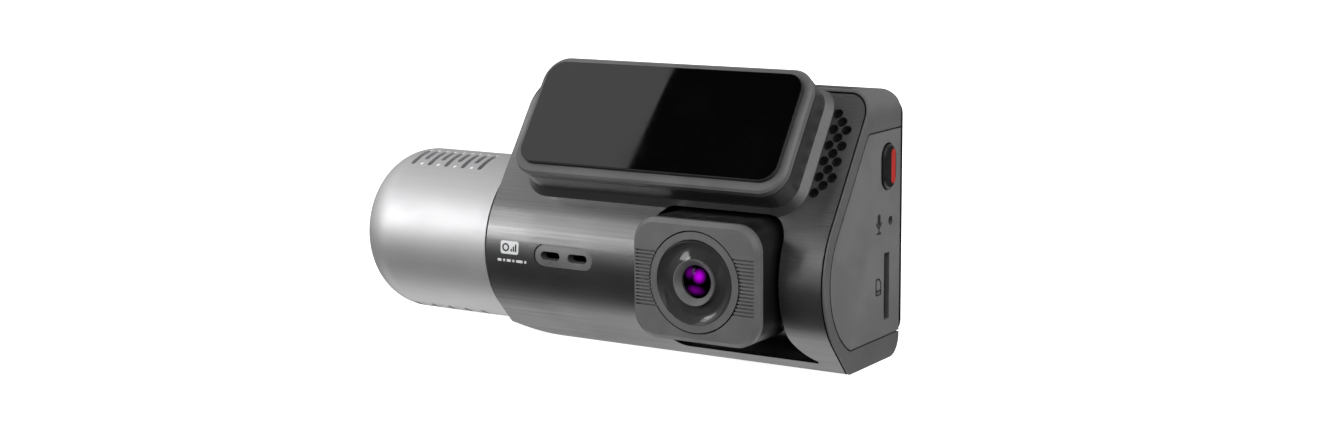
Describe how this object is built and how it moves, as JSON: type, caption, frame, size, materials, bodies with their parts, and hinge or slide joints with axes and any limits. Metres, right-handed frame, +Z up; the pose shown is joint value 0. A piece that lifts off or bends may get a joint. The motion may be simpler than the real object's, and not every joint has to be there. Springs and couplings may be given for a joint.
{
  "type": "dash camera",
  "caption": "Dash camera with a tilting road camera, a turning cabin camera drum, a rear touch display and a slide-off windscreen bracket.",
  "frame": {"origin": "middle of the bounding box's base, on the surface that the underside stands on", "axes": "+X along the body to the end with the power key; -Y is the front, towards the road, and +Y the display; +Z is up"},
  "size_m": [0.1072, 0.0386, 0.0532],
  "materials": {
    "front_metal": "brushed, dark anodised",
    "housing": "satin moulded",
    "side_cover": "satin moulded",
    "dark_trim": "satin",
    "cover_glass": "black backed, polished",
    "display_module": "black",
    "inner_plastic": "moulded",
    "steel": "zinc plated",
    "circuit_board": "solder mask",
    "chip": "epoxy",
    "tin": "tin plated",
    "thermal_pad": "soft silicone",
    "heat_sink": "extruded",
    "capacitor_sleeve": "shrink sleeve",
    "ceramic": "fired ceramic",
    "speaker_cone": "matt",
    "mesh": "woven",
    "memory_card": "satin",
    "key": "satin",
    "red_key": "glossy",
    "boot_rubber": "matt",
    "bracket": "satin moulded",
    "foam": "closed-cell foam",
    "liner": "glossy film",
    "pod": "satin moulded",
    "faceplate": "fine grooved",
    "bowl": "glossy black",
    "lens_metal": "black anodised",
    "lens_rim": "black chrome",
    "coated_glass": "purple anti-reflection coating",
    "inner_glass": "coated",
    "washer": "spring steel",
    "drum_silver": "satin anodised silver",
    "smoked_window": "smoked, glossy",
    "lamp_epoxy": "dark epoxy"
  },
  "bodies": {
    "body": {"av_socket": "dark_trim", "board_screws": "steel", "bracket_socket": "inner_plastic", "card_socket": "tin", "display_glass": "cover_glass", "display_panel": "display_module", "drum_washer": "washer", "frame_screws": "steel", "front_shell": "front_metal", "gps_antenna": "ceramic", "gps_board": "circuit_board", "heat_sink": "heat_sink", "inner_frame": "inner_plastic", "key_board": "circuit_board", "key_switch": "chip", "lens_cradle": "inner_plastic", "main_board": "circuit_board", "microphone": "tin", "microphone_boot": "boot_rubber", "processor": "chip", "processor_shield": "tin", "rear_housing": "housing", "side_cover": "side_cover", "socket_screws": "steel", "speaker": "inner_plastic", "speaker_cone": "speaker_cone", "speaker_mesh": "mesh", "supercapacitors": "capacitor_sleeve", "thermal_pad": "thermal_pad", "tilt_washers": "washer", "usb_socket": "tin", "vent_insert": "dark_trim"},
    "camera_pod": {"lens_pod": "pod", "lens_faceplate": "faceplate", "lens_ring": "faceplate", "lens_bowl": "bowl", "lens_barrel": "lens_metal", "lens_rim": "lens_rim", "lens_front_glass": "coated_glass", "lens_inner_glass": "inner_glass", "lens_holder": "inner_plastic", "sensor_board": "circuit_board", "image_sensor": "chip", "pod_screws": "steel"},
    "cabin_drum": {"drum_shell": "drum_silver", "drum_core": "dark_trim", "drum_nut": "lens_metal", "cabin_window": "smoked_window", "cabin_lens_barrel": "lens_metal", "cabin_lens_glass": "coated_glass", "cabin_board": "circuit_board", "cabin_sensor": "chip", "infrared_lamps": "lamp_epoxy"},
    "key": {"power_key": "key", "key_stripe": "red_key", "key_plunger": "dark_trim"},
    "card": {"memory_card": "memory_card"},
    "bracket": {"bracket_plate": "bracket", "adhesive_pad": "foam", "pad_liner": "liner"}
  },
  "joints": [
    {"name": "pod_tilt", "type": "hinge", "parent": "body", "child": "camera_pod", "pos_m": [0.03035, 0.0032, 0.0171], "axis": [1, 0, 0], "range_deg": [0, 18]},
    {"name": "drum_turn", "type": "hinge", "parent": "body", "child": "cabin_drum", "pos_m": [-0.03625, 0.0032, 0.0171], "axis": [1, 0, 0], "range_deg": [-45, 45]},
    {"name": "key_press", "type": "slide", "parent": "body", "child": "key", "axis": [-1, 0, 0], "range_m": [0, 0.0004], "stiffness_N_per_m": 2500},
    {"name": "card_slide", "type": "slide", "parent": "body", "child": "card", "axis": [1, 0, 0], "range_m": [-0.0006, 0.012]},
    {"name": "bracket_slide", "type": "slide", "parent": "body", "child": "bracket", "axis": [-1, 0, 0], "range_m": [0, 0.008]}
  ]
}
